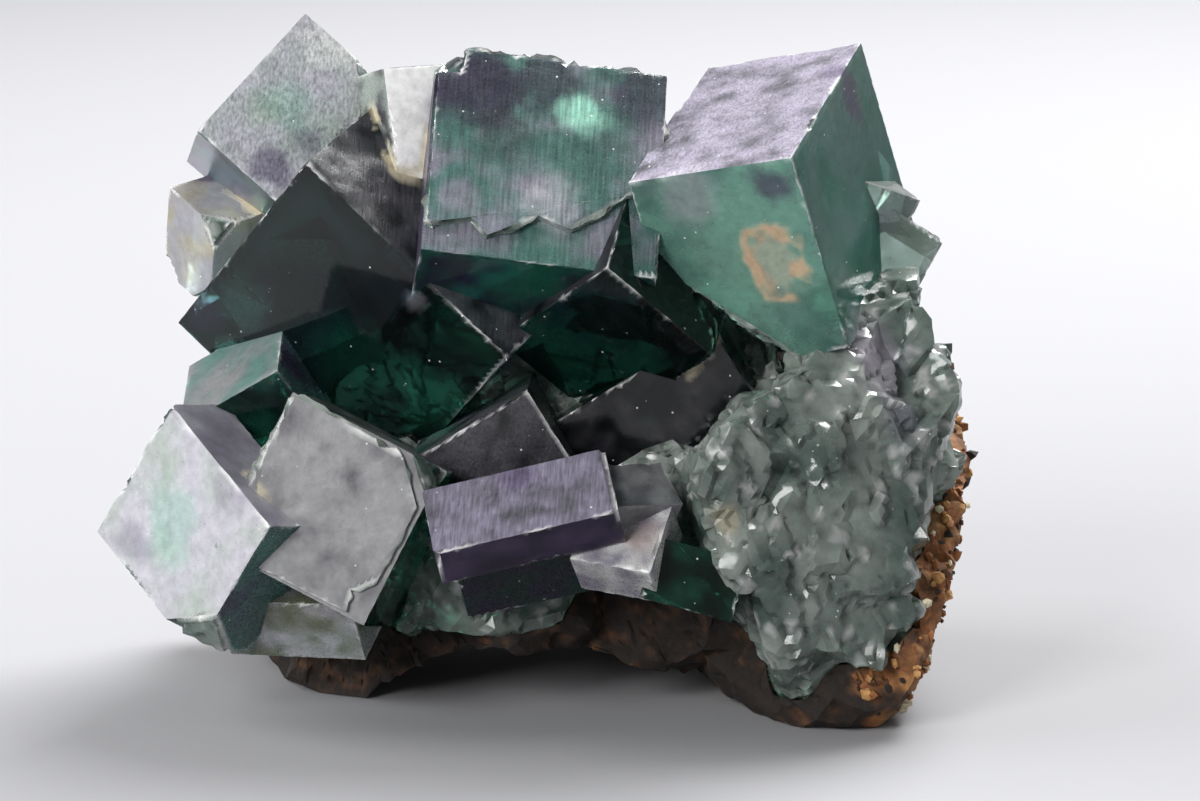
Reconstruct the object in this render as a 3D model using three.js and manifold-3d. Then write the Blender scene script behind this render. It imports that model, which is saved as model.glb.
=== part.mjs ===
// A loose fluorite specimen: a cluster of intergrown cubes on broken massive fluorite,
// with a rind of brown iron oxide under and behind it. Millimetres, +Z up, the best side faces -Y.
import * as THREE from "three";
import { ConvexGeometry } from "three/addons/geometries/ConvexGeometry.js";
import { mergeVertices } from "three/addons/utils/BufferGeometryUtils.js";
import { ImprovedNoise } from "three/addons/math/ImprovedNoise.js";
import Module from "manifold-3d";

const wasm = await Module();
wasm.setup();

const GAP = 0.3; // clearance between the crystals and the rind
const WELD = 1e-4; // vertices closer than this are one vertex
const RIND = 1.9; // thickness of the brown rind
const RIND_LUMP = 0.7; // how far the lumps of the rind stand out
const RIND_LUMP_SIZE = 1.7; // width of one lump
const RIND_SIDE = new THREE.Vector3(0.45, 0.75, -0.9); // the way the covered side faces
const RIND_EDGE = 0.2; // how far round from that side the rind reaches
const RIND_FADE = 0.12; // how gently it thins out there
const RIND_RAGGED = 0.12; // how much its edge wanders
const RIND_RAGGED_SIZE = 3; // width of one such bend
const RIND_SUNK = -2; // where there is no rind its surface lies inside the fluorite
const BLOCK_SHARPNESS = 14; // how sharply the faces of a mass meet
const FACET_TILT = 0.9; // how much the broken facets lean
const FACET_STEP = 1.2; // how far they stand in or out
const FACET_LIMIT = 1.1; // the most they leave the smooth surface
const FACET_GRAZING = 0.2; // facets seen more edge-on than this are not drawn out further
const GOLDEN_ANGLE = 2.4; // radians, spreads the facets evenly
const GROUND_REACH = 80; // wide enough to trim everything under the specimen

// Arch under the specimen, between the left and the right foot.
const ARCH_LEFT = -11;
const ARCH_PEAK = -3.5;
const ARCH_RIGHT = 13;
const ARCH_HEIGHT = 3.5;
const ARCH_TURN = 8; // degrees about +Z
const ARCH_LUMP = 0.8; // how far the ceiling of the arch bulges
const ARCH_LUMP_SIZE = 3; // width of one bulge
const ARCH_SINK = 0.6; // the ceiling runs this far below the ground at its two ends
const ARCH_LENGTH = 44; // front to back
const ARCH_CELLS = [14, 16]; // facets across and along the ceiling

// Fluorite cubes. edges: lengths along the crystal's own axes. at: centre.
// turn: degrees about Z, then X, then Y. cleaved: a corner (signs) and how much of each edge is gone.
const CRYSTALS = [
  {
    name: "top plate",
    edges: [13.5, 5.5, 14],
    at: [0, -0.5, 30],
    turn: [12, -44, 11],
    cleaved: [[-1, -1, 1, 2], [-1, 1, 1, 2], [1, 1, -1, 3]],
  },
  { name: "top back", edges: [12.5, 12, 9.5], at: [-0.5, 4, 28.5], turn: [12, -44, 11] },
  { name: "big dark", edges: [11, 17, 16], at: [-9, 4, 23], turn: [41, -41, -26] },
  { name: "centre wedge", edges: [9.3, 6, 8.5], at: [4.4, -2.4, 23.2], turn: [-13, 32, -40] },
  {
    name: "right cube",
    edges: [10, 15.8, 12.2],
    at: [13.7, 1.7, 28.8],
    turn: [-18, 17, -12],
    cleaved: [[-1, -1, -1, 7]],
  },
  {
    name: "left cube",
    edges: [6.4, 11, 9.5],
    at: [-15.2, 7.5, 32.7],
    turn: [9, -18, 44],
    cleaved: [[1, -1, 1, 2.4], [1, 1, 1, 3]],
  },
  { name: "bright cube", edges: [7, 7, 7.3], at: [-7.2, 4.3, 32.6], turn: [30, -14, 0] },
  { name: "small left", edges: [7, 7, 6.8], at: [-16.2, 2.2, 16.5], turn: [0, 19, -33] },
  {
    name: "grey front",
    edges: [9.8, 12, 9.9],
    at: [-11, -3.2, 11.6],
    turn: [-9, -15, 25],
    cleaved: [[1, -1, 1, 2]],
  },
  {
    name: "lilac front",
    edges: [10.7, 4.5, 9.7],
    at: [-19, -4.8, 11],
    turn: [-42, -9, 32],
    cleaved: [[1, -1, -1, 3]],
  },
  { name: "step slab", edges: [8, 9, 6.8], at: [-2, -2, 14.5], turn: [-3, 0, -32] },
  { name: "black step", edges: [13, 9, 9], at: [7, 0, 15.5], turn: [-3, 0, -32] },
  { name: "ledge plate", edges: [10.6, 4.7, 2.8], at: [-0.8, -10.2, 13], turn: [12, 36, -16] },
  { name: "ledge block", edges: [9, 6, 5], at: [-0.5, -6.5, 11], turn: [12, 36, -16] },
  { name: "ledge end", edges: [4.5, 3.4, 4], at: [5, -8.5, 13], turn: [26, 33, 5] },
  { name: "pale end", edges: [4.8, 3.4, 4.5], at: [5, -9.2, 11], turn: [-15, -43, 7] },
  { name: "glassy end", edges: [5.4, 5, 3.6], at: [8.8, -8.5, 9], turn: [0, -12, 15] },
  {
    name: "cream corner",
    edges: [4.5, 5, 6],
    at: [-19.3, 9, 25.5],
    turn: [41, 22, -10],
    cleaved: [[-1, -1, 1, 1.6], [-1, -1, -1, 1.8], [-1, 1, -1, 1.6]],
  },
  { name: "left base", edges: [8.5, 6, 4], at: [-13.5, -3.8, 6.6], turn: [-18, 25, -3] },
  { name: "purple peak", edges: [6.5, 6.5, 6.5], at: [-5.5, 10.5, 30], turn: [25, 20, 35] },
  { name: "right edge upper", edges: [5, 6, 5], at: [18, 5.5, 28], turn: [30, 15, 20] },
  { name: "right edge lower", edges: [4.5, 5.5, 5], at: [20, 4.5, 24.6], turn: [15, -25, 35] },
  { name: "right edge black", edges: [1.6, 1.6, 1.6], at: [24.6, 2.6, 22.3], turn: [20, 10, 5] },
  { name: "back right", edges: [8, 8, 8], at: [10.5, 10.5, 24], turn: [35, -20, 15] },
  { name: "back middle", edges: [7.5, 7, 7.5], at: [0.5, 13, 24], turn: [-20, 30, 10] },
  { name: "back left", edges: [9, 8.5, 9], at: [-12, 10.5, 21.5], turn: [15, 25, -30] },
  { name: "back low", edges: [6, 6, 6], at: [-14.5, 9.5, 14], turn: [50, 10, 25] },
];

// Later layers on the front of a crystal: outline across its own x and z, and thickness.
const OVERGROWTHS = [
  {
    on: "top plate",
    thick: 0.45,
    outline: [
      [-5, 7.2],
      [6.7, 7],
      [6.7, -0.5],
      [4.7, -1.9],
      [1.3, -4.6],
      [-0.3, -4],
      [-3.1, -5.8],
      [-4.1, -4.7],
      [-6.6, -5.4],
      [-6.6, 5.2],
      [-5.3, 5.4],
    ],
  },
  {
    on: "grey front",
    thick: 0.3,
    outline: [
      [-4.6, 4.8],
      [2.4, 4.7],
      [4.6, 2.4],
      [4.5, -2.2],
      [3.4, -3.5],
      [3.7, -4.7],
      [-2.5, -4.8],
      [-3.6, -3],
      [-4.7, -3.4],
    ],
  },
];

// Masses of fluorite without crystal faces. faces: outward direction and distance from the centre.
const CORE = {
  centre: [2, 6, 14],
  detail: 6,
  rindDetail: 8,
  rindUnder: 5,
  facets: 60,
  faces: [
    [-0.48, -0.81, -0.34, 7.5],
    [0, -0.8, 0.6, 9],
    [0, 0, 1, 13],
    [0, 1, 0.1, 9],
    [-1, 0.2, 0, 13],
    [1, 0, 0, 12],
    [0, 0, -1, 8.5],
    [-0.6, 0.3, 0.75, 13],
  ],
};
const BROKEN_SIDE = {
  centre: [15, 0, 12.5],
  detail: 10,
  rindDetail: 8,
  rindUnder: 1,
  facets: 130,
  faces: [
    [0.25, -0.96, 0.1, 9.5],
    [0.8, -0.55, 0, 9.8],
    [0.95, 0.05, -0.3, 7.6],
    [0.95, 0.1, 0.25, 9.6],
    [0, 0.3, 0.95, 12.5],
    [-0.67, 0.15, 0.72, 5.4],
    [0.2, -0.8, 0.6, 10],
    [0, 1, 0, 12],
    [0, 0, -1, 11],
    [0.1, -0.6, -0.75, 13],
    [-1, -0.35, 0, 8.5],
    [-0.8, -0.3, -0.5, 8],
  ],
};
const LEFT_MASS = {
  centre: [-8, 4, 10.5],
  detail: 6,
  rindDetail: 8,
  rindUnder: 6,
  facets: 50,
  faces: [
    [-1, -0.2, 0.1, 9.5],
    [-0.3, -0.95, 0, 6.5],
    [-0.3, -0.5, 0.8, 5.5],
    [0, 0, 1, 8],
    [0, 0, -1, 5.5],
    [0, 1, 0, 8.5],
    [1, 0, 0, 9],
    [0, -0.7, -0.7, 10],
  ],
};

const noise = new ImprovedNoise();

function solidOf(geometry) {
  const bare = geometry.clone();
  bare.deleteAttribute("normal");
  bare.deleteAttribute("uv");
  const welded = mergeVertices(bare, WELD);
  return new wasm.Manifold(
    new wasm.Mesh({
      numProp: 3,
      vertProperties: new Float32Array(welded.attributes.position.array),
      triVerts: new Uint32Array(welded.index.array),
    }),
  );
}

function geometryOf(solid) {
  const mesh = solid.getMesh();
  const geometry = new THREE.BufferGeometry();
  geometry.setAttribute("position", new THREE.BufferAttribute(mesh.vertProperties, 3));
  geometry.setIndex(new THREE.BufferAttribute(mesh.triVerts, 1));
  const flat = geometry.toNonIndexed();
  flat.computeVertexNormals();
  return flat;
}

function placementOf(crystal) {
  const [aboutZ, aboutX, aboutY] = crystal.turn.map(THREE.MathUtils.degToRad);
  return new THREE.Matrix4().compose(
    new THREE.Vector3(...crystal.at),
    new THREE.Quaternion().setFromEuler(new THREE.Euler(aboutX, aboutY, aboutZ, "ZXY")),
    new THREE.Vector3(1, 1, 1),
  );
}

// A cube of fluorite, grown larger by the given amount all round, with its cleaved corners cut off.
function crystalSolid(crystal, growth) {
  const half = crystal.edges.map((edge) => edge / 2 + growth);
  const cleaved = crystal.cleaved ?? [];
  const points = [];
  for (const sx of [-1, 1]) {
    for (const sy of [-1, 1]) {
      for (const sz of [-1, 1]) {
        const corner = new THREE.Vector3(sx * half[0], sy * half[1], sz * half[2]);
        const cut = cleaved.find((c) => c[0] === sx && c[1] === sy && c[2] === sz);
        if (!cut) {
          points.push(corner);
          continue;
        }
        points.push(corner.clone().add(new THREE.Vector3(-sx * cut[3], 0, 0)));
        points.push(corner.clone().add(new THREE.Vector3(0, -sy * cut[3], 0)));
        points.push(corner.clone().add(new THREE.Vector3(0, 0, -sz * cut[3])));
      }
    }
  }
  return solidOf(new ConvexGeometry(points).applyMatrix4(placementOf(crystal)));
}

// A thin later layer on the front of a crystal, with a broken edge.
function overgrowthSolid(layer) {
  const crystal = CRYSTALS.find((each) => each.name === layer.on);
  const outline = new THREE.Shape(layer.outline.map(([x, z]) => new THREE.Vector2(x, z)));
  const sheet = new THREE.ExtrudeGeometry(outline, { depth: 2 * layer.thick, bevelEnabled: false });
  sheet.rotateX(Math.PI / 2).translate(0, layer.thick - crystal.edges[1] / 2, 0);
  return solidOf(sheet.applyMatrix4(placementOf(crystal)));
}

// Smooth surface of a mass along one direction: distance from the centre, and outward normal.
function blockSurface(mass, direction) {
  const normal = new THREE.Vector3();
  let sum = 0;
  for (const [nx, ny, nz, distance] of mass.faces) {
    const face = new THREE.Vector3(nx, ny, nz).normalize();
    const facing = direction.dot(face);
    if (facing <= 0) continue;
    sum += (facing / distance) ** BLOCK_SHARPNESS;
    normal.addScaledVector(face, (facing / distance) ** (BLOCK_SHARPNESS - 1) / distance);
  }
  return { reach: sum ** (-1 / BLOCK_SHARPNESS), normal: normal.normalize() };
}

// An irregular number between -1 and 1 for the given facet; part picks one of several series.
function irregular(facet, part) {
  return noise.noise(facet * 1.37, part * 3.3 + 0.4, 2.3);
}

// Flat broken facets spread over a mass, each tilted and set in or out a little.
function brokenFacets(mass) {
  const facets = [];
  for (let i = 0; i < mass.facets; i += 1) {
    const height = 1 - (2 * (i + 0.5)) / mass.facets;
    const around = i * GOLDEN_ANGLE + irregular(i, 0);
    const wide = Math.sqrt(1 - height * height);
    const toward = new THREE.Vector3(wide * Math.cos(around), wide * Math.sin(around), height);
    const { reach, normal } = blockSurface(mass, toward);
    const tilt = new THREE.Vector3(irregular(i, 1), irregular(i, 2), irregular(i, 3));
    normal.addScaledVector(tilt, FACET_TILT).normalize();
    const out = reach + FACET_STEP * irregular(i, 4);
    facets.push({ toward, normal, offset: toward.clone().multiplyScalar(out).dot(normal) });
  }
  return facets;
}

// Distance from a mass's centre to its broken surface, along one direction.
function brokenReach(mass, direction) {
  let nearest = mass.broken[0];
  for (const facet of mass.broken) {
    if (facet.toward.dot(direction) > nearest.toward.dot(direction)) nearest = facet;
  }
  const smooth = blockSurface(mass, direction).reach;
  const flat = nearest.offset / Math.max(direction.dot(nearest.normal), FACET_GRAZING);
  return smooth + THREE.MathUtils.clamp(flat - smooth, -FACET_LIMIT, FACET_LIMIT);
}

// A lump whose surface lies at reach(direction) from the mass's centre.
function lump(mass, detail, reach) {
  const ball = new THREE.IcosahedronGeometry(1, detail);
  const position = ball.attributes.position;
  const direction = new THREE.Vector3();
  for (let i = 0; i < position.count; i += 1) {
    direction.fromBufferAttribute(position, i).normalize();
    direction.multiplyScalar(reach(direction.clone()));
    position.setXYZ(i, direction.x, direction.y, direction.z);
  }
  return solidOf(ball.translate(...mass.centre));
}

// Noise between -1 and 1, with waves of the given size; part picks one of several patterns.
function waves(at, size, part) {
  return noise.noise(at.x / size, at.y / size + part, at.z / size);
}

// How thick the rind is over a mass: full below and behind, gone on the front and top.
function rindOver(mass, direction) {
  const at = direction.clone().multiplyScalar(blockSurface(mass, direction).reach);
  const facing = direction.dot(RIND_SIDE) + RIND_RAGGED * waves(at, RIND_RAGGED_SIZE, 9);
  const cover = THREE.MathUtils.smoothstep(facing, RIND_EDGE - RIND_FADE, RIND_EDGE + RIND_FADE);
  const under = mass.rindUnder * Math.max(-direction.z, 0) ** 2;
  const full = RIND + under + RIND_LUMP * waves(at, RIND_LUMP_SIZE, 0);
  return THREE.MathUtils.lerp(RIND_SUNK, full, cover);
}

// Distance from a mass's centre to the outside of its rind, along one direction.
function rindReach(mass, direction) {
  return blockSurface(mass, direction).reach + rindOver(mass, direction);
}

function united(solids) {
  return solids.reduce((whole, solid) => whole.add(solid));
}

// The largest closed surface of a solid: hollows sealed inside it and loose crumbs are left out.
function outermost(solid) {
  return solid.decompose().sort((a, b) => b.volume() - a.volume())[0];
}

// Height of the arch's ceiling: a peak left of the middle and a long low run to the right foot.
function archHeight(x, y) {
  const side = x < ARCH_PEAK ? ARCH_LEFT : ARCH_RIGHT;
  const along = (x - ARCH_PEAK) / (side - ARCH_PEAK);
  const bulge = ARCH_LUMP * waves(new THREE.Vector3(x, y, 0.5), ARCH_LUMP_SIZE, 0);
  return (ARCH_HEIGHT + ARCH_SINK) * (1 - along * along) + bulge - ARCH_SINK;
}

function archSolid() {
  const [across, along] = ARCH_CELLS;
  const bar = new THREE.BoxGeometry(ARCH_RIGHT - ARCH_LEFT, ARCH_LENGTH, 2, across, along, 1);
  bar.translate((ARCH_RIGHT + ARCH_LEFT) / 2, 0, 0);
  const position = bar.attributes.position;
  for (let i = 0; i < position.count; i += 1) {
    if (position.getZ(i) > 0) position.setZ(i, archHeight(position.getX(i), position.getY(i)));
  }
  return solidOf(bar.rotateZ(THREE.MathUtils.degToRad(ARCH_TURN)));
}

function groundSolid() {
  const block = new THREE.BoxGeometry(GROUND_REACH, GROUND_REACH, GROUND_REACH);
  return solidOf(block.translate(0, 0, -GROUND_REACH / 2));
}

const masses = [CORE, BROKEN_SIDE, LEFT_MASS];
masses.forEach((mass) => {
  mass.broken = brokenFacets(mass);
});
const under = archSolid().add(groundSolid());

const fluorite = outermost(
  united([
    ...CRYSTALS.map((crystal) => crystalSolid(crystal, 0)),
    ...OVERGROWTHS.map(overgrowthSolid),
    ...masses.map((mass) => lump(mass, mass.detail, (direction) => brokenReach(mass, direction))),
  ]).subtract(under),
);

const fluoriteRoom = united([
  ...CRYSTALS.map((crystal) => crystalSolid(crystal, GAP)),
  ...masses.map((mass) => lump(mass, mass.detail, (direction) => brokenReach(mass, direction) + GAP)),
]);
const rind = outermost(
  united(
    masses.map((mass) =>
      lump(mass, mass.rindDetail, (direction) => rindReach(mass, direction)),
    ),
  )
    .subtract(fluoriteRoom)
    .subtract(under),
);

// Moves both solids together so that the origin is under the middle of the specimen.
const [fluoriteShape, rindShape] = [geometryOf(fluorite), geometryOf(rind)];
const whole = new THREE.Box3();
for (const shape of [fluoriteShape, rindShape]) {
  shape.computeBoundingBox();
  whole.union(shape.boundingBox);
}
const middle = whole.getCenter(new THREE.Vector3());
for (const shape of [fluoriteShape, rindShape]) shape.translate(-middle.x, -middle.y, -whole.min.z);

const fluoriteMaterial = new THREE.MeshStandardMaterial({
  color: 0x5f7a70,
  roughness: 0.18,
  metalness: 0,
  transparent: true,
  opacity: 0.85,
});
const rindMaterial = new THREE.MeshStandardMaterial({ color: 0x4a2f1b, roughness: 0.9, metalness: 0 });

const crystals = new THREE.Mesh(fluoriteShape, fluoriteMaterial);
crystals.name = "fluorite_crystals";
const crust = new THREE.Mesh(rindShape, rindMaterial);
crust.name = "iron_oxide_crust";

const specimen = new THREE.Group();
specimen.name = "fluorite_specimen";
specimen.add(crystals, crust);

export default specimen;
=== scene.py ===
"""Looks of a loose fluorite specimen: green and purple cubes, broken massive fluorite and a brown crust."""

import math

import bmesh
import bpy
import numpy as np
from mathutils import Matrix, Vector


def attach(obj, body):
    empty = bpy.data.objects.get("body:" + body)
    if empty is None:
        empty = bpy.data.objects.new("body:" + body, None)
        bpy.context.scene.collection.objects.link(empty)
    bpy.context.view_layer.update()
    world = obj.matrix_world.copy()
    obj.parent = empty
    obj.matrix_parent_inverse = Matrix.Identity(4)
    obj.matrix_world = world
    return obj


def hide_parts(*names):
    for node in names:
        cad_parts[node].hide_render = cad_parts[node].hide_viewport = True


MM = 0.001
ORIGIN = np.array((-0.32, 2.82, 0.0))  # crystals below are placed from here, in mm

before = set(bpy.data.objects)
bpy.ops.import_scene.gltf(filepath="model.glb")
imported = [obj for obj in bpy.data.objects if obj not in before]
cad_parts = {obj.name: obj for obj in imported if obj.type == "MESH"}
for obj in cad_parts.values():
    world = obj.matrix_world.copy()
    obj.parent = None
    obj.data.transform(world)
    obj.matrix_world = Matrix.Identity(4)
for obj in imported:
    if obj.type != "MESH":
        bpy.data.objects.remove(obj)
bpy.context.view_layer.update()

# name: centre, turn (degrees about Z, then X, then Y) and edges, in mm
CRYSTALS = {
    "top": ((0, -0.5, 30), (12, -44, 11), (13.5, 5.5, 14)),
    "top back": ((-0.5, 4, 28.5), (12, -44, 11), (12.5, 12, 9.5)),
    "dark": ((-9, 4, 23), (41, -41, -26), (11, 17, 16)),
    "wedge": ((4.4, -2.4, 23.2), (-13, 32, -40), (9.3, 6, 8.5)),
    "right": ((13.7, 1.7, 28.8), (-18, 17, -12), (10, 15.8, 12.2)),
    "left": ((-15.2, 7.5, 32.7), (9, -18, 44), (6.4, 11, 9.5)),
    "bright": ((-7.2, 4.3, 32.6), (30, -14, 0), (7, 7, 7.3)),
    "small": ((-16.2, 2.2, 16.5), (0, 19, -33), (7, 7, 6.8)),
    "grey": ((-11, -3.2, 11.6), (-9, -15, 25), (9.8, 12, 9.9)),
    "lilac": ((-19, -4.8, 11), (-42, -9, 32), (10.7, 4.5, 9.7)),
    "slab": ((-2, -2, 14.5), (-3, 0, -32), (8, 9, 6.8)),
    "step": ((7, 0, 15.5), (-3, 0, -32), (13, 9, 9)),
    "ledge": ((-0.8, -10.2, 13), (12, 36, -16), (10.6, 4.7, 2.8)),
    "under ledge": ((-0.5, -6.5, 11), (12, 36, -16), (9, 6, 5)),
    "ledge end": ((5, -8.5, 13), (26, 33, 5), (4.5, 3.4, 4)),
    "pale": ((5, -9.2, 11), (-15, -43, 7), (4.8, 3.4, 4.5)),
    "glassy": ((8.8, -8.5, 9), (0, -12, 15), (5.4, 5, 3.6)),
    "cream": ((-19.3, 9, 25.5), (41, 22, -10), (4.5, 5, 6)),
    "base": ((-13.5, -3.8, 6.6), (-18, 25, -3), (8.5, 6, 4)),
    "peak": ((-5.5, 10.5, 30), (25, 20, 35), (6.5, 6.5, 6.5)),
    "edge upper": ((18, 5.5, 28), (30, 15, 20), (5, 6, 5)),
    "edge lower": ((20, 4.5, 24.6), (15, -25, 35), (4.5, 5.5, 5)),
    "edge black": ((24.6, 2.6, 22.3), (20, 10, 5), (1.6, 1.6, 1.6)),
    "back right": ((10.5, 10.5, 24), (35, -20, 15), (8, 8, 8)),
    "back middle": ((0.5, 13, 24), (-20, 30, 10), (7.5, 7, 7.5)),
    "back left": ((-12, 10.5, 21.5), (15, 25, -30), (9, 8.5, 9)),
    "back low": ((-14.5, 9.5, 14), (50, 10, 25), (6, 6, 6)),
}
NAMES = list(CRYSTALS)
SIDES = 6
BROKEN = -1
LAYERED = ("top", "grey")  # these have a later layer on their front

# how a triangle is told to lie on a crystal's side, in mm, and how parallel it has to be
ON_SIDE = 0.12
LAYER_THICK = 0.6
PAST_SIDE = 0.2
PARALLEL = 0.995
WELD = 2e-6

# longest edge of the split triangles, in mm
FACE_LIMIT = 0.75
BROKEN_LIMIT = 0.6
EDGE_LIMIT = 0.5
CRUST_LIMIT = 0.6
MARK_LIMIT = 0.28
ROUNDS = 12

# relief, in mm: etching, shards and flakes of the broken side, chipped edges, lumps of the crust
BEND = 0.01
ETCH_SIZE = 0.9
SHARD_SIZE = 1.7
SHARD_STRETCH = np.array((1, 1, 0.6))
SHARD_HEIGHT = 0.7
FLAKE_SIZE = 0.6
FLAKE_HEIGHT = 0.12
CRACK_WIDTH = 0.12
CRACK_DEPTH = 0.12
UNEVEN_HEIGHT = 0.1
CHIP_SIZE = 2.2
EDGE_WEAR = 0.04
CHIP_DEPTH = 0.5
LUMP_SIZE = 0.9
LUMP_HEIGHT = 0.3
PIT_SIZE = 0.7
PIT_HEIGHT = 0.12
FOOT_HEIGHT = (0.1, 0.8)  # the crust stays flat below the first and is full of lumps above the second
FLUORITE_CREASE = math.radians(22)
CRUST_CREASE = math.radians(30)


def turned(turn):
    z, x, y = (math.radians(a) for a in turn)
    rz = np.array(((math.cos(z), -math.sin(z), 0), (math.sin(z), math.cos(z), 0), (0, 0, 1)))
    rx = np.array(((1, 0, 0), (0, math.cos(x), -math.sin(x)), (0, math.sin(x), math.cos(x))))
    ry = np.array(((math.cos(y), 0, math.sin(y)), (0, 1, 0), (-math.sin(y), 0, math.cos(y))))
    return rz @ rx @ ry


FRAMES = {n: (np.array(c, float), turned(t), np.array(e, float) / 2) for n, (c, t, e) in CRYSTALS.items()}


def hashed(cells, seed):
    """An even number from 0 to 1 for each lattice cell."""
    c = cells.astype(np.int64)
    h = c[..., 0] * 374761393 + c[..., 1] * 668265263 + c[..., 2] * 2147483647 + seed * 974634777
    h = (h ^ (h >> 13)) * 1274126177 & 0x7FFFFFFF
    h = (h ^ (h >> 16)) * 1911520717 & 0x7FFFFFFF
    return ((h ^ (h >> 15)) & 0xFFFFFF) / 0xFFFFFF


def noise(points, size, seed=0):
    """Smooth noise from -1 to 1 with lumps of the given size."""
    p = np.asarray(points, float) / size
    base = np.floor(p)
    f = p - base
    f = f * f * (3 - 2 * f)
    total = np.zeros(len(p))
    for corner in np.ndindex(2, 2, 2):
        weight = np.prod(np.where(np.array(corner) == 1, f, 1 - f), axis=1)
        total += weight * hashed(base + np.array(corner), seed)
    return total * 2 - 1


def fractal(points, size, octaves, seed=0):
    return sum(noise(points, size / 2**k, seed + k) / 2**k for k in range(octaves))


def cells(points, size, seed=0):
    """Distances to the nearest two of one scattered point per cell, and the nearest one's number."""
    p = np.asarray(points, float) / size
    base = np.floor(p)
    first = np.full(len(p), 9.0)
    second = np.full(len(p), 9.0)
    number = np.zeros(len(p))
    for shift in np.ndindex(3, 3, 3):
        cell = base + np.array(shift) - 1
        spot = cell + np.stack([hashed(cell, seed + k) for k in range(3)], 1)
        d = np.linalg.norm(spot - p, axis=1)
        nearer = d < first
        second = np.where(nearer, first, np.minimum(second, d))
        number = np.where(nearer, hashed(cell, seed + 7), number)
        first = np.where(nearer, d, first)
    return first * size, second * size, number


def surface(node):
    """A CAD node's merged vertices, in mm from the crystals' origin, and its triangles."""
    bm = bmesh.new()
    bm.from_mesh(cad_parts[node].data)
    bmesh.ops.remove_doubles(bm, verts=bm.verts, dist=WELD)
    bmesh.ops.triangulate(bm, faces=bm.faces)
    bm.verts.index_update()
    co = np.array([v.co for v in bm.verts]) / MM + ORIGIN
    tri = np.array([[v.index for v in f.verts] for f in bm.faces])
    bm.free()
    return co, tri


def label_of(co, tri):
    """For each triangle SIDES times its crystal's number plus the side it lies on, or BROKEN."""
    middle = co[tri].mean(axis=1)
    unit = normals(co, tri)[0]
    label = np.full(len(tri), BROKEN)
    best = np.full(len(tri), ON_SIDE)
    for k, name in enumerate(NAMES):
        at, rot, half = FRAMES[name]
        p = (middle - at) @ rot
        m = unit @ rot
        for axis in range(3):
            for way in (0, 1):
                sign = 2 * way - 1
                off = np.abs(p[:, axis] * sign - half[axis])
                if name in LAYERED and axis == 1 and way == 0:
                    off = np.where(off < LAYER_THICK, 0, off)
                outside = np.delete(np.abs(p) - half, axis, axis=1).max(axis=1)
                found = (m[:, axis] * sign > PARALLEL) & (outside < PAST_SIDE) & (off < best)
                label[found] = k * SIDES + axis * 2 + way
                best[found] = off[found]
    return label


def spans(tri, label, count):
    """Lowest and highest label of the triangles around each vertex."""
    low = np.full(count, 10**6)
    high = np.full(count, -(10**6))
    for c in range(3):
        np.minimum.at(low, tri[:, c], label)
        np.maximum.at(high, tri[:, c], label)
    return low, high


def refined(co, tri, label, face_limit, broken_limit, edge_limit, marks=()):
    """Splits triangles until no edge is longer than its limit: finer on broken faces and at crystal edges."""
    for _ in range(ROUNDS):
        low, high = spans(tri, label, len(co))
        pairs = np.sort(np.stack((tri, np.roll(tri, -1, axis=1)), axis=2), axis=2)
        keys, which = np.unique(pairs[..., 0] * len(co) + pairs[..., 1], return_inverse=True)
        which = which.reshape(-1, 3)
        ends = np.stack((keys // len(co), keys % len(co)), axis=1)
        limit = np.full(len(ends), face_limit)
        limit[np.unique(which[label == BROKEN])] = broken_limit
        limit[(low != high)[ends].any(axis=1)] = edge_limit
        for centre, radius in marks:
            limit[np.linalg.norm(co[ends].mean(axis=1) - np.array(centre), axis=1) < radius] = MARK_LIMIT
        long = np.linalg.norm(co[ends[:, 0]] - co[ends[:, 1]], axis=1) > limit
        if not long.any():
            break
        middle = np.full(len(ends), -1)
        middle[long] = len(co) + np.arange(long.sum())
        co = np.vstack((co, co[ends[long]].mean(axis=1)))
        m = middle[which]
        cut = (m >= 0).sum(axis=1)
        made = [(tri[cut == 0], label[cut == 0])]
        for k in range(3):
            a, b, c = (tri[:, (k + s) % 3] for s in range(3))
            ab, bc, ca = (m[:, (k + s) % 3] for s in range(3))
            one = (cut == 1) & (ab >= 0)
            two = (cut == 2) & (ca < 0)
            every = (cut == 3) & (k == 0)
            for pick, corners in (
                (one, ((a, ab, c), (ab, b, c))),
                (two, ((ab, b, bc), (a, ab, bc), (a, bc, c))),
                (every, ((a, ab, ca), (ab, b, bc), (ca, bc, c), (ab, bc, ca))),
            ):
                for three in corners:
                    made.append((np.stack(three, axis=1)[pick], label[pick]))
        tri = np.vstack([t for t, _ in made])
        label = np.concatenate([l for _, l in made])
    return co, tri, label


def srgb(r, g, b):
    c = np.array((r, g, b)) / 255
    return np.where(c <= 0.04045, c / 12.92, ((c + 0.055) / 1.055) ** 2.4)


BLACK = srgb(16, 20, 22)
DEEP = srgb(24, 52, 45)
GREEN = srgb(44, 112, 92)
TEAL = srgb(84, 124, 116)
MINT = srgb(130, 182, 162)
PURPLE = srgb(80, 64, 98)
VIOLET_BLACK = srgb(44, 34, 60)
LILAC = srgb(142, 136, 152)
PALE = srgb(188, 186, 194)
WHITE = srgb(226, 226, 224)
GREY = srgb(132, 132, 134)
DARK_GREY = srgb(74, 73, 79)
CREAM = srgb(198, 188, 160)
PEACH = srgb(200, 160, 125)
OLIVE = srgb(114, 118, 100)
GREY_GREEN = srgb(166, 176, 168)
SLATE = srgb(92, 110, 103)
BROWN_BLACK = srgb(30, 22, 17)
BROWN = srgb(76, 50, 31)
RUST = srgb(132, 84, 46)
OCHRE = srgb(172, 128, 78)
DUSK = srgb(52, 58, 70)
SEA_GREEN = srgb(58, 96, 88)
BRIGHT_MINT = srgb(165, 228, 205)
BLUE_TEAL = srgb(70, 100, 104)
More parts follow.
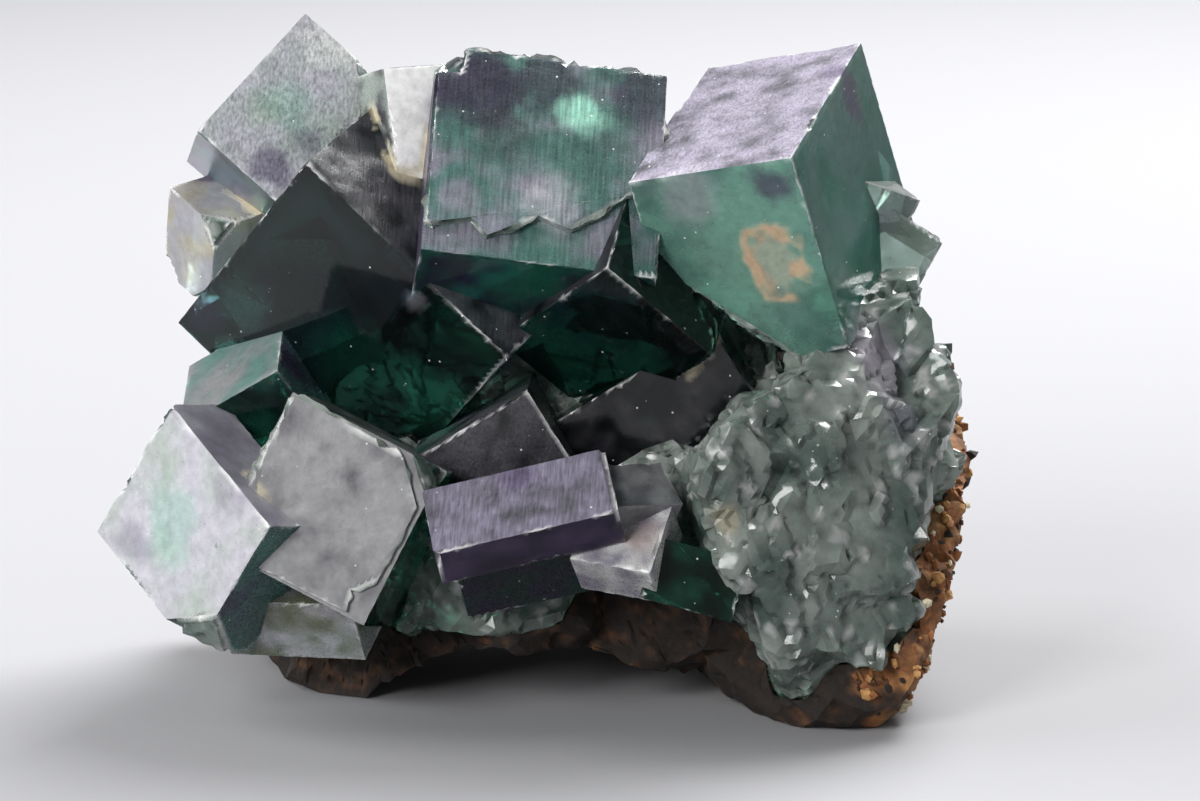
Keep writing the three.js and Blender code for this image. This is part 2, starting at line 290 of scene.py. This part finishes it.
BOTTLE_GREEN = srgb(20, 70, 56)
PINKISH = srgb(190, 168, 160)
PALE_LILAC = srgb(186, 178, 190)
PALE_GREEN = srgb(150, 170, 158)
DULL_TEAL = srgb(72, 112, 104)
GREY_LILAC = srgb(118, 113, 130)
# white for a painted reflection of the key light
PAINTED_REFLECTION_WHITE = srgb(250, 250, 248)
# dark green-grey for painted shade in the cracks of the broken side
CRACK_SHADE_GREEN = srgb(44, 52, 50)
TAN = srgb(176, 160, 140)

# crystal and side: main colour, second colour, its share, size of its patches in mm,
# roughness, how clear it is, height of its etching in mm
LOOKS = {
    ("top", 2): (DULL_TEAL, LILAC, 0.3, 2.2, 0.3, 0.45, 0.03),
    ("top", 0): (DARK_GREY, PURPLE, 0.4, 1.0, 0.3, 0.4, 0.03),
    ("top", 4): (GREEN, VIOLET_BLACK, 0.25, 2.0, 0.12, 0.7, 0.0),
    ("dark", 0): (DEEP, BLACK, 0.6, 4.0, 0.06, 0.85, 0.0),
    ("dark", 2): (DARK_GREY, BLACK, 0.45, 0.9, 0.34, 0.3, 0.06),
    ("wedge", 1): (DEEP, BLACK, 0.5, 3.0, 0.06, 0.85, 0.0),
    ("wedge", 2): (DEEP, BLACK, 0.4, 4.0, 0.06, 0.9, 0.0),
    ("wedge", 5): (DARK_GREY, BLACK, 0.5, 1.0, 0.2, 0.6, 0.02),
    ("right", 5): (LILAC, DARK_GREY, 0.3, 1.2, 0.4, 0.2, 0.06),
    ("right", 2): (MINT, TEAL, 0.3, 3.0, 0.1, 0.6, 0.0),
    ("right", 1): (TEAL, GREEN, 0.4, 2.0, 0.14, 0.6, 0.0),
    ("left", 2): (PALE, GREY_GREEN, 0.4, 1.8, 0.33, 0.3, 0.03),
    ("left", 4): (TEAL, PURPLE, 0.5, 1.5, 0.2, 0.5, 0.0),
    # side 2 of the bright cube is painted white: a painted reflection of the key light
    ("bright", 2): (PAINTED_REFLECTION_WHITE, WHITE, 0.1, 1.0, 0.1, 0.0, 0.0),
    ("bright", 0): (GREY_GREEN, DARK_GREY, 0.4, 1.0, 0.25, 0.4, 0.0),
    ("small", 5): (GREY, TEAL, 0.4, 1.5, 0.35, 0.35, 0.02),
    ("small", 2): (DEEP, GREEN, 0.4, 2.0, 0.1, 0.8, 0.0),
    ("grey", 2): (GREY, DARK_GREY, 0.2, 1.5, 0.5, 0.12, 0.02),
    ("grey", 1): (GREEN, DEEP, 0.5, 2.0, 0.06, 0.9, 0.0),
    ("lilac", 2): (PALE, GREY_GREEN, 0.4, 2.0, 0.36, 0.25, 0.02),
    ("lilac", 5): (PALE, LILAC, 0.5, 2.0, 0.38, 0.35, 0.03),
    ("slab", 2): (DARK_GREY, BLACK, 0.35, 1.0, 0.35, 0.3, 0.03),
    ("step", 2): (BLACK, DARK_GREY, 0.2, 1.0, 0.12, 0.6, 0.0),
    ("ledge", 5): (GREY_LILAC, DARK_GREY, 0.3, 0.9, 0.36, 0.2, 0.05),
    ("ledge", 2): (VIOLET_BLACK, PURPLE, 0.4, 1.5, 0.2, 0.5, 0.02),
}
# the same for a whole crystal, where its sides are alike
CRYSTAL_LOOKS = {
    "top": (TEAL, PURPLE, 0.4, 2.0, 0.3, 0.4, 0.02),
    "dark": (DEEP, PURPLE, 0.4, 2.0, 0.15, 0.7, 0.02),
    "right": (TEAL, PURPLE, 0.4, 3.0, 0.25, 0.45, 0.02),
    "left": (PALE, LILAC, 0.5, 2.5, 0.3, 0.4, 0.02),
    "grey": (GREY, DEEP, 0.5, 2.0, 0.4, 0.3, 0.02),
    "slab": (DARK_GREY, BLACK, 0.5, 1.0, 0.3, 0.3, 0.02),
    "step": (BLACK, DEEP, 0.4, 1.0, 0.2, 0.6, 0.0),
    "ledge": (LILAC, VIOLET_BLACK, 0.5, 1.0, 0.35, 0.3, 0.02),
    "under ledge": (VIOLET_BLACK, DEEP, 0.5, 1.0, 0.25, 0.5, 0.02),
    "ledge end": (GREY, DARK_GREY, 0.4, 1.0, 0.35, 0.3, 0.03),
    "pale": (WHITE, LILAC, 0.5, 1.0, 0.3, 0.45, 0.03),
    "glassy": (DEEP, GREEN, 0.4, 1.0, 0.08, 0.85, 0.0),
    "cream": (PALE, CREAM, 0.35, 1.5, 0.2, 0.55, 0.02),
    "base": (OLIVE, PALE, 0.4, 1.2, 0.3, 0.45, 0.03),
    "peak": (VIOLET_BLACK, PURPLE, 0.5, 1.5, 0.2, 0.5, 0.0),
    "edge upper": (GREY_GREEN, WHITE, 0.3, 1.0, 0.12, 0.75, 0.0),
    "edge lower": (GREY_GREEN, WHITE, 0.4, 1.0, 0.12, 0.75, 0.0),
    "edge black": (BLACK, BLACK, 0.0, 1.0, 0.2, 0.3, 0.0),
}
OTHER_LOOK = (TEAL, PURPLE, 0.45, 2.5, 0.25, 0.5, 0.02)
BROKEN_LOOK = (GREY_GREEN, SLATE, 0.45, 2.6, 0.16, 0.55, 0.0)

RUST_FROM = (15, 23)  # across the part, in mm: no rust to full rust
GRAINS = 900
GRAIN_SIZE = (0.12, 0.36)
GRAIN_COLOURS = (RUST, RUST, OCHRE, BROWN, BROWN_BLACK, CREAM)

# stains and clouds: centre in mm, radius in mm, colour, strength
SPOTS = (
    ((-3.5, 0, 36), 3.2, VIOLET_BLACK, 0.9),
    ((0.5, 0.5, 36.5), 2.2, DUSK, 0.8),
    ((6, 1.5, 35.5), 2.4, VIOLET_BLACK, 0.75),
    ((3.5, -1.5, 32.5), 2.2, SEA_GREEN, 0.6),
    ((2.5, 0, 34), 1.5, BRIGHT_MINT, 0.95),
    ((-6.5, -3.5, 32), 1.6, LILAC, 0.8),
    ((-7, -7.5, 13), 1.1, WHITE, 0.7),
    ((-4.5, -5.5, 30.5), 1.4, LILAC, 0.7),
    ((0.5, -5, 30), 2.0, PALE, 0.5),
    ((-2, -2, 33.5), 2.0, DEEP, 0.5),
    ((-5.5, -7, 27), 0.9, VIOLET_BLACK, 0.8),
    ((-2.5, -7, 26.5), 0.9, VIOLET_BLACK, 0.7),
    ((-7, -4.5, 24.5), 0.8, PALE, 0.8),
    ((-20, 4.5, 22), 1.6, PURPLE, 0.5),
    ((-17.5, 2.5, 23), 1.8, TEAL, 0.4),
    ((-6.5, -2.5, 18), 2.6, GREEN, 0.5),
    ((-12, 4, 38), 2.2, WHITE, 0.7),
    ((-14.5, 2.5, 34.5), 1.9, MINT, 0.4),
    ((-15.5, 1, 31), 1.2, PURPLE, 0.7),
    ((-13.5, 2, 32.5), 1.0, PURPLE, 0.5),
    ((-20.5, 10.5, 29.5), 1.6, PURPLE, 0.7),
    ((13, -7.5, 31.5), 1.3, PURPLE, 0.8),
    ((8.5, -6, 30.5), 1.8, PALE, 0.5),
    ((18, 2.5, 35), 1.8, PURPLE, 0.8),
    ((16.5, -6.5, 24.5), 1.5, GREEN, 0.5),
    ((-21, -5.5, 11.5), 2.2, MINT, 0.45),
    ((-23.5, -4, 10), 1.5, LILAC, 0.6),
    ((-17.5, -8.5, 14.5), 1.5, LILAC, 0.5),
    ((21, -7, 18), 1.6, LILAC, 0.5),
    ((19, -4.5, 22), 1.8, PALE, 0.7),
    ((16, -9.5, 16.5), 2.5, SLATE, 0.5),
    ((10.5, -10.5, 13), 1.0, CREAM, 0.7),
    ((-20, 4.5, 24), 1.6, BLUE_TEAL, 0.6),
    ((-10.5, -0.5, 20.5), 2.4, BOTTLE_GREEN, 0.6),
    ((-1, -9.5, 15), 1.4, PURPLE, 0.5),
    ((6, -10.5, 11.5), 1.2, PINKISH, 0.6),
    ((19.5, -5, 20.5), 2.0, PALE_LILAC, 0.6),
    ((17, -8, 13.5), 2.2, PALE_GREEN, 0.4),
)

# the stain like a ring on the right cube: centre, half width and half height in mm
RING_AT = (13.4, -6.2, 26.7)
RING_WIDE = 1.8
RING_HIGH = 2.3
RING_REACH = 3.2
MARKS = ((RING_AT, 3.0),)
# crevices that hold cream clay: middle and reach in mm
CLAY = (
    ((-9, 0, 32.5), 3.0),
    ((-11, -1.5, 32.5), 2.0),
    ((-18, 6.5, 27.5), 2.4),
    ((-20, -5.5, 17), 2.6),
    ((-17, -6.5, 15), 2.8),
    ((-16.5, -10, 12.5), 2.0),
    ((-20.5, -7.5, 7.5), 2.8),
    ((10, -4.5, 21), 2.0),
)
# roughness, clearness and lines of worn edges and of clay, and how far they cover the colour below; the white
# on worn edges is partly wear and partly a painted highlight
WORN_FINISH = np.array((0.4, 0.15, 0))
WEAR_AND_HIGHLIGHT_WHITE = 0.75
CLAY_FINISH = np.array((0.85, 0, 0))
CLAY_COVER = 0.9
# faces with fine straight lines
STREAKED = (("top", 2), ("right", 5), ("ledge", 5), ("dark", 2), ("left", 2), ("slab", 2))


def look_of(label):
    if label == BROKEN:
        return BROKEN_LOOK
    k, side = divmod(int(label), SIDES)
    name = NAMES[k]
    return LOOKS.get((name, side), CRYSTAL_LOOKS.get(name, OTHER_LOOK))


def label_at(name, side):
    return NAMES.index(name) * SIDES + side


def smooth(low, high, x):
    """0 at low, 1 at high and an eased step between."""
    t = np.clip((x - low) / (high - low), 0, 1)
    return t * t * (3 - 2 * t)


def normals(co, tri):
    """Unit normal of each triangle, and area-weighted normal of each vertex."""
    cross = np.cross(co[tri[:, 1]] - co[tri[:, 0]], co[tri[:, 2]] - co[tri[:, 0]])
    at_vertex = np.zeros_like(co)
    for c in range(3):
        np.add.at(at_vertex, tri[:, c], cross)
    unit = cross / np.maximum(np.linalg.norm(cross, axis=1, keepdims=True), 1e-12)
    return unit, at_vertex / np.maximum(np.linalg.norm(at_vertex, axis=1, keepdims=True), 1e-12)


def mesh_of(name, co, tri):
    """A mesh in the frame's metres from places in mm."""
    mesh = bpy.data.meshes.new(name)
    mesh.from_pydata(((co - ORIGIN) * MM).tolist(), [], tri.tolist())
    return mesh


def mixed(under, over, share):
    return under * (1 - share) + over * share


def paint(mesh, name, values):
    """Writes a colour for each corner of each triangle."""
    layer = mesh.attributes.new(name, "FLOAT_COLOR", "CORNER")
    full = np.ones((len(values), 4), np.float32)
    full[:, : values.shape[1]] = values
    layer.data.foreach_set("color", full.ravel())


# the fluorite
co, tri = surface("fluorite_crystals")
co, tri, label = refined(co, tri, label_of(co, tri), FACE_LIMIT, BROKEN_LIMIT, EDGE_LIMIT, MARKS)
low, high = spans(tri, label, len(co))
_, vertex_normal = normals(co, tri)

# which way each vertex bends: above 0 in a crevice, below 0 on an edge
around = np.zeros_like(co)
count = np.zeros(len(co))
for a, b in ((0, 1), (1, 2), (2, 0)):
    for p, q in ((a, b), (b, a)):
        np.add.at(around, tri[:, p], co[tri[:, q]])
        np.add.at(count, tri[:, p], 1)
bend = np.einsum("ij,ij->i", around / count[:, None] - co, vertex_normal)
on_edge = (low != high) & (bend < -BEND)
in_crevice = (low != high) & (bend > BEND)

# etched and broken faces, and chipped edges
etch = np.zeros(len(co))
for k in np.unique(label):
    inside = (low == k) & (high == k)
    etch[inside] = look_of(k)[-1]
move = etch * fractal(co, ETCH_SIZE, 2, 3)
broken = (low == BROKEN) & (high == BROKEN)
first, second, number = cells(co * SHARD_STRETCH, SHARD_SIZE, 11)
_, _, fine_number = cells(co, FLAKE_SIZE, 12)
crack = smooth(CRACK_WIDTH, 0.0, second - first)
shard = SHARD_HEIGHT * (number - 0.5) + FLAKE_HEIGHT * (fine_number - 0.5) - CRACK_DEPTH * crack
shard = shard + UNEVEN_HEIGHT * fractal(co, ETCH_SIZE, 2, 5)
move = np.where(broken, shard, move)
chip = np.clip(fractal(co, CHIP_SIZE, 3, 8), 0, 1)
move = np.where(on_edge, -EDGE_WEAR - CHIP_DEPTH * chip**2, move)
co = co + vertex_normal * move[:, None]
mesh = mesh_of("fluorite", co, tri)

# colours and finish for each corner
corner = tri.ravel()
corner_label = np.repeat(label, 3)
spot = co[corner]
tint = np.zeros((len(corner), 3))
finish = np.zeros((len(corner), 3))
for k in np.unique(label):
    main, second_colour, share, size, rough, clear, _ = look_of(k)
    here = corner_label == k
    wave = fractal(spot[here], size, 3, 20 + int(k) % 17)
    mix = smooth(0.0, 1.0, 0.5 + 0.6 * wave + (share - 0.5))[:, None]
    tint[here] = mixed(main, second_colour, mix)
    finish[here] = (rough, clear, 0)
for centre, radius, colour, strength in SPOTS:
    d = np.linalg.norm(spot - np.array(centre), axis=1)
    near = d < radius * 1.8
    wobble = radius * (1 + 0.45 * fractal(spot[near], 1.2, 2, 33))
    mix = (strength * smooth(1.25, 0.5, d[near] / wobble))[:, None]
    tint[near] = mixed(tint[near], colour, mix)
for name, side in STREAKED:
    finish[corner_label == label_at(name, side), 2] = 1

# the broken side: painted shade in the cracks and white sparkle as painted glints of light
on_broken = corner_label == BROKEN
# darker in the cracks: painted shade
dark = (0.6 * crack[corner] * on_broken)[:, None]
tint = mixed(tint, CRACK_SHADE_GREEN, dark)
# white flecks on the shards: painted glints of light
painted_glint = (on_broken * (fine_number[corner] > 0.93) * 0.7)[:, None]
tint = mixed(tint, WHITE, painted_glint)

# the ring of stain
off = (spot - np.array(RING_AT)) @ FRAMES["right"][1]
ring = np.hypot(off[:, 0] / RING_WIDE, off[:, 2] / RING_HIGH) + 0.3 * fractal(spot, 1.3, 2, 41)
near = (np.linalg.norm(off, axis=1) < RING_REACH) & (corner_label == label_at("right", 2))
patchy = smooth(-0.5, 0.2, fractal(spot, 1.1, 2, 42))
band = (near * patchy * smooth(0.34, 0.08, np.abs(ring - 0.8)) * 0.8)[:, None]
fill = (near * smooth(0.95, 0.6, ring) * 0.55)[:, None]
tint = mixed(tint, TAN, fill)
tint = mixed(tint, PEACH, band)
finish[:, 1:2] *= 1 - 0.7 * np.maximum(band, fill)

# worn edges, whitened partly as wear and partly as a painted highlight, and clay
wear_and_highlight = (on_edge * smooth(-0.25, 0.3, fractal(co, CHIP_SIZE, 3, 8)))[corner][:, None]
# white along the edges: partly wear, partly a painted highlight
tint = mixed(tint, WHITE, WEAR_AND_HIGHLIGHT_WHITE * wear_and_highlight)
finish = mixed(finish, WORN_FINISH, wear_and_highlight)
wide = in_crevice.astype(float)
for a, b in ((0, 1), (1, 2), (2, 0)):
    np.maximum.at(wide, tri[:, a], 0.8 * in_crevice[tri[:, b]])
    np.maximum.at(wide, tri[:, b], 0.8 * in_crevice[tri[:, a]])
clay = np.zeros(len(co))
for centre, reach in CLAY:
    d = np.linalg.norm(co - np.array(centre), axis=1)
    clay = np.maximum(clay, wide * smooth(1.2 * reach, 0.7 * reach, d))
clay = (clay * (fractal(co, 0.9, 2, 51) > -0.25))[corner][:, None]
tint = mixed(tint, CREAM, CLAY_COVER * clay)
finish = mixed(finish, CLAY_FINISH, clay)
paint(mesh, "tint", tint)
paint(mesh, "finish", finish)
mesh.polygons.foreach_set("use_smooth", label != BROKEN)
mesh.set_sharp_from_angle(angle=FLUORITE_CREASE)
fluorite = bpy.data.objects.new("fluorite", mesh)
bpy.context.scene.collection.objects.link(fluorite)

# the crust
co, tri = surface("iron_oxide_crust")
co, tri, _ = refined(co, tri, np.zeros(len(tri), int), CRUST_LIMIT, CRUST_LIMIT, CRUST_LIMIT)
_, vertex_normal = normals(co, tri)
_, _, number = cells(co, LUMP_SIZE, 61)
lift = smooth(*FOOT_HEIGHT, co[:, 2])
lumps = LUMP_HEIGHT * (number - 0.5) + PIT_HEIGHT * fractal(co, PIT_SIZE, 2, 62)
co = co + vertex_normal * (lift * lumps)[:, None]
rusty = smooth(*RUST_FROM, co[:, 0]) + 0.5 * fractal(co, 1.6, 3, 63)
shade = 0.5 + 0.5 * fractal(co, 0.8, 2, 64)
rust = smooth(0.45, 0.9, rusty)[:, None]
brown = smooth(0.55, 0.95, shade)[:, None]
dark_part = mixed(BROWN_BLACK, BROWN, brown)
pale = smooth(0.7, 1.0, number)[:, None]
rust_part = mixed(RUST, OCHRE, pale) * (0.35 + 0.8 * shade[:, None])
colour = mixed(dark_part, rust_part, rust)

# loose grains on the right rim
rng = np.random.default_rng(7)
GOLD = (1 + 5**0.5) / 2
ICO_EDGE = 1.1  # a little over the edge of an icosahedron of radius 1
ico = []
for i in (-1, 1):
    for j in (-GOLD, GOLD):
        ico += [(0, i, j), (i, j, 0), (j, 0, i)]
ico = np.array(ico) / np.linalg.norm(ico[0])
ico_faces = []
for i, j, k in np.ndindex(12, 12, 12):
    longest = max(np.linalg.norm(ico[p] - ico[q]) for p, q in ((i, j), (j, k), (i, k)))
    if i < j < k and longest < ICO_EDGE:
        out = np.dot(np.cross(ico[j] - ico[i], ico[k] - ico[i]), ico[i]) > 0
        ico_faces.append((i, j, k) if out else (i, k, j))
ico_faces = np.array(ico_faces)
chosen = np.flatnonzero((rust[:, 0] > 0.4) & (co[:, 2] > 0.6) & (vertex_normal[:, 2] > -0.6))
chosen = rng.choice(chosen, min(GRAINS, len(chosen)), replace=False)
grain_co = []
grain_tri = []
grain_colour = []
for n, v in enumerate(chosen):
    size = rng.uniform(*GRAIN_SIZE)
    shape = ico * size * rng.uniform(0.6, 1.4, 3) * rng.uniform(0.7, 1.3, (12, 1))
    grain_co.append(co[v] + 0.3 * size * vertex_normal[v] + shape)
    grain_tri.append(ico_faces + len(co) + 12 * n)
    grain_colour.append(np.tile(GRAIN_COLOURS[rng.integers(len(GRAIN_COLOURS))], (12, 1)))
co = np.vstack([co] + grain_co)
tri = np.vstack([tri] + grain_tri)
colour = np.vstack([colour] + grain_colour)
crust_mesh = mesh_of("crust", co, tri)
paint(crust_mesh, "tint", colour[tri.ravel()])
crust_mesh.shade_smooth()
crust_mesh.set_sharp_from_angle(angle=CRUST_CREASE)
crust = bpy.data.objects.new("crust", crust_mesh)
bpy.context.scene.collection.objects.link(crust)


def material(name):
    mat = bpy.data.materials.new(name)
    mat.use_nodes = True
    return mat, mat.node_tree.nodes, mat.node_tree.links


def texture(nodes, links, kind, scale, vector, **settings):
    node = nodes.new(kind)
    node.inputs["Scale"].default_value = scale
    for key, value in settings.items():
        node.inputs[key].default_value = value
    links.new(vector, node.inputs["Vector"])
    return node


def maths(nodes, links, operation, *values):
    node = nodes.new("ShaderNodeMath")
    node.operation = operation
    for k, value in enumerate(values):
        if isinstance(value, (int, float)):
            node.inputs[k].default_value = value
        else:
            links.new(value, node.inputs[k])
    return node.outputs[0]


def blend(nodes, links, factor, a, b):
    node = nodes.new("ShaderNodeMix")
    node.data_type = "RGBA"
    for socket, value in (("Factor_Float", factor), ("A_Color", a), ("B_Color", b)):
        target = next(s for s in node.inputs if s.identifier == socket)
        if isinstance(value, (tuple, float)):
            target.default_value = value
        else:
            links.new(value, target)
    return next(s for s in node.outputs if s.identifier == "Result_Color")


def scaled(nodes, links, colour, factor):
    node = nodes.new("ShaderNodeVectorMath")
    node.operation = "SCALE"
    links.new(colour, node.inputs[0])
    links.new(factor, node.inputs["Scale"])
    return node.outputs[0]


def attribute(nodes, name):
    node = nodes.new("ShaderNodeAttribute")
    node.attribute_name = name
    return node.outputs["Color"]


# what the fluorite is made of: noise scales are per metre
FLUORITE_IOR = 1.434
ABSORPTION_COLOUR = (0.27, 0.67, 0.58, 1)
ABSORPTION_DENSITY = 130
LINE_SIZE = (0.14 * MM, 0.14 * MM, 2.2 * MM)
MOTTLE_SCALE = 1500
GRAIN_SCALE = 8000
DUST_SCALE = 1500
DUST_COLOUR = (0.7, 0.7, 0.68, 1.0)
mat, nodes, links = material("fluorite")
bsdf = nodes["Principled BSDF"]
bsdf.inputs["IOR"].default_value = FLUORITE_IOR
where = nodes.new("ShaderNodeTexCoord").outputs["Object"]
split = nodes.new("ShaderNodeSeparateColor")
links.new(attribute(nodes, "finish"), split.inputs[0])
rough, clear, lined = split.outputs
turn = nodes.new("ShaderNodeMapping")
turn.vector_type = "TEXTURE"
turn.inputs["Rotation"].default_value = Matrix(FRAMES["top"][1].tolist()).to_euler()
turn.inputs["Scale"].default_value = LINE_SIZE
links.new(where, turn.inputs["Vector"])
lines = texture(nodes, links, "ShaderNodeTexNoise", 1, turn.outputs[0], Detail=2).outputs[0]
lines = maths(nodes, links, "MULTIPLY", maths(nodes, links, "SUBTRACT", lines, 0.5), lined)
mottle = texture(nodes, links, "ShaderNodeTexNoise", MOTTLE_SCALE, where, Detail=4, Roughness=0.65).outputs[0]
grain = texture(nodes, links, "ShaderNodeTexNoise", GRAIN_SCALE, where, Detail=2).outputs[0]
uneven = maths(nodes, links, "MULTIPLY_ADD", mottle, 0.9, 0.55)
uneven = maths(nodes, links, "MULTIPLY_ADD", lines, 1.7, uneven)
uneven = maths(nodes, links, "MAXIMUM", uneven, 0.15)
colour = scaled(nodes, links, attribute(nodes, "tint"), uneven)
specks = texture(nodes, links, "ShaderNodeTexVoronoi", DUST_SCALE, where)
amount = nodes.new("ShaderNodeSeparateColor")
links.new(specks.outputs["Color"], amount.inputs[0])
reach = maths(nodes, links, "MULTIPLY_ADD", amount.outputs[0], 0.2, -0.1)
dust = maths(nodes, links, "LESS_THAN", specks.outputs["Distance"], reach)
colour = blend(nodes, links, maths(nodes, links, "MULTIPLY", dust, 0.7), colour, DUST_COLOUR)
links.new(colour, bsdf.inputs["Base Color"])
clear = maths(nodes, links, "MULTIPLY", clear, maths(nodes, links, "SUBTRACT", 1.0, dust))
links.new(clear, bsdf.inputs["Transmission Weight"])
frost = maths(nodes, links, "MULTIPLY", rough, maths(nodes, links, "MULTIPLY_ADD", grain, 1.2, 0.4))
links.new(frost, bsdf.inputs["Roughness"])
height = maths(nodes, links, "MULTIPLY_ADD", grain, 0.15, mottle)
height = maths(nodes, links, "MULTIPLY_ADD", lines, 1.2, height)
bump = nodes.new("ShaderNodeBump")
bump.inputs["Distance"].default_value = 0.1 * MM
links.new(maths(nodes, links, "MULTIPLY", rough, 0.6), bump.inputs["Strength"])
links.new(height, bump.inputs["Height"])
links.new(bump.outputs[0], bsdf.inputs["Normal"])
absorb = nodes.new("ShaderNodeVolumeAbsorption")
absorb.inputs["Color"].default_value = ABSORPTION_COLOUR
absorb.inputs["Density"].default_value = ABSORPTION_DENSITY
links.new(absorb.outputs[0], nodes["Material Output"].inputs["Volume"])
fluorite.data.materials.append(mat)

# what the crust is made of
RUST_SCALE = 2200
mat, nodes, links = material("iron oxide")
bsdf = nodes["Principled BSDF"]
bsdf.inputs["Roughness"].default_value = 0.85
where = nodes.new("ShaderNodeTexCoord").outputs["Object"]
mottle = texture(nodes, links, "ShaderNodeTexNoise", RUST_SCALE, where, Detail=4, Roughness=0.7).outputs[0]
uneven = maths(nodes, links, "MULTIPLY_ADD", mottle, 2.0, 0.0)
links.new(scaled(nodes, links, attribute(nodes, "tint"), uneven), bsdf.inputs["Base Color"])
bump = nodes.new("ShaderNodeBump")
bump.inputs["Strength"].default_value = 0.6
bump.inputs["Distance"].default_value = 0.2 * MM
links.new(mottle, bump.inputs["Height"])
links.new(bump.outputs[0], bsdf.inputs["Normal"])
crust.data.materials.append(mat)

PIECES = (
    (fluorite, "fluorite_crystals", "fluorite"),
    (crust, "iron_oxide_crust", "iron_oxide"),
)
for piece, node, slot in PIECES:
    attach(piece, "root")
    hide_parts(node)

# stage, light and camera
LIGHT_TARGET = (0, 0, 0.02)
FLOOR_COLOUR = (0.3, 0.3, 0.31, 1)
FLOOR_DROP = 0.1 * MM
floor_mesh = bpy.data.meshes.new("floor")
floor_mesh.from_pydata([(-2, -1, 0), (2, -1, 0), (2, 3, 0), (-2, 3, 0)], [], [(0, 1, 2, 3)])
floor = bpy.data.objects.new("floor", floor_mesh)
floor.location.z = -FLOOR_DROP
bpy.context.scene.collection.objects.link(floor)
mat, nodes, links = material("floor")
nodes["Principled BSDF"].inputs["Base Color"].default_value = FLOOR_COLOUR
nodes["Principled BSDF"].inputs["Roughness"].default_value = 1.0
nodes["Principled BSDF"].inputs["Specular IOR Level"].default_value = 0.0
floor.data.materials.append(mat)

SKY_FRONT = 0.22
SKY_BACK = 0.52
world = bpy.data.worlds.new("studio")
bpy.context.scene.world = world
world.use_nodes = True
sky = world.node_tree.nodes
sky_links = world.node_tree.links
sky["Background"].inputs["Color"].default_value = (1, 1, 1.03, 1)
way = sky.new("ShaderNodeSeparateXYZ")
sky_links.new(sky.new("ShaderNodeTexCoord").outputs["Generated"], way.inputs[0])
fade = sky.new("ShaderNodeMapRange")
for key, value in (("From Min", -0.7), ("From Max", 0.7), ("To Min", SKY_FRONT), ("To Max", SKY_BACK)):
    fade.inputs[key].default_value = value
sky_links.new(way.outputs["Y"], fade.inputs["Value"])
sky_links.new(fade.outputs[0], sky["Background"].inputs["Strength"])


def softbox(name, place, size, watts):
    light = bpy.data.lights.new(name, "AREA")
    light.shape = "RECTANGLE"
    light.size, light.size_y = size
    light.energy = watts
    obj = bpy.data.objects.new(name, light)
    obj.location = place
    obj.rotation_euler = (Vector(LIGHT_TARGET) - Vector(place)).to_track_quat("-Z", "Y").to_euler()
    bpy.context.scene.collection.objects.link(obj)


softbox("key", (0.18, 0.26, 0.42), (0.28, 0.28), 6)
softbox("front fill", (-0.3, -0.4, 0.28), (0.2, 0.3), 3)
softbox("left fill", (-0.4, 0.05, 0.3), (0.25, 0.35), 2)

CAMERA_AT = (3.82, -254.35, 70.98)  # mm
CAMERA_UP = 12  # degrees above level
camera = bpy.data.cameras.new("camera")
camera.sensor_width = 36
camera.lens = 132
camera_object = bpy.data.objects.new("camera", camera)
camera_object.location = np.array(CAMERA_AT) * MM
camera_object.rotation_euler = (math.radians(90 - CAMERA_UP), 0, 0)
bpy.context.scene.collection.objects.link(camera_object)
bpy.context.scene.camera = camera_object
bpy.context.scene.view_settings.view_transform = "Standard"
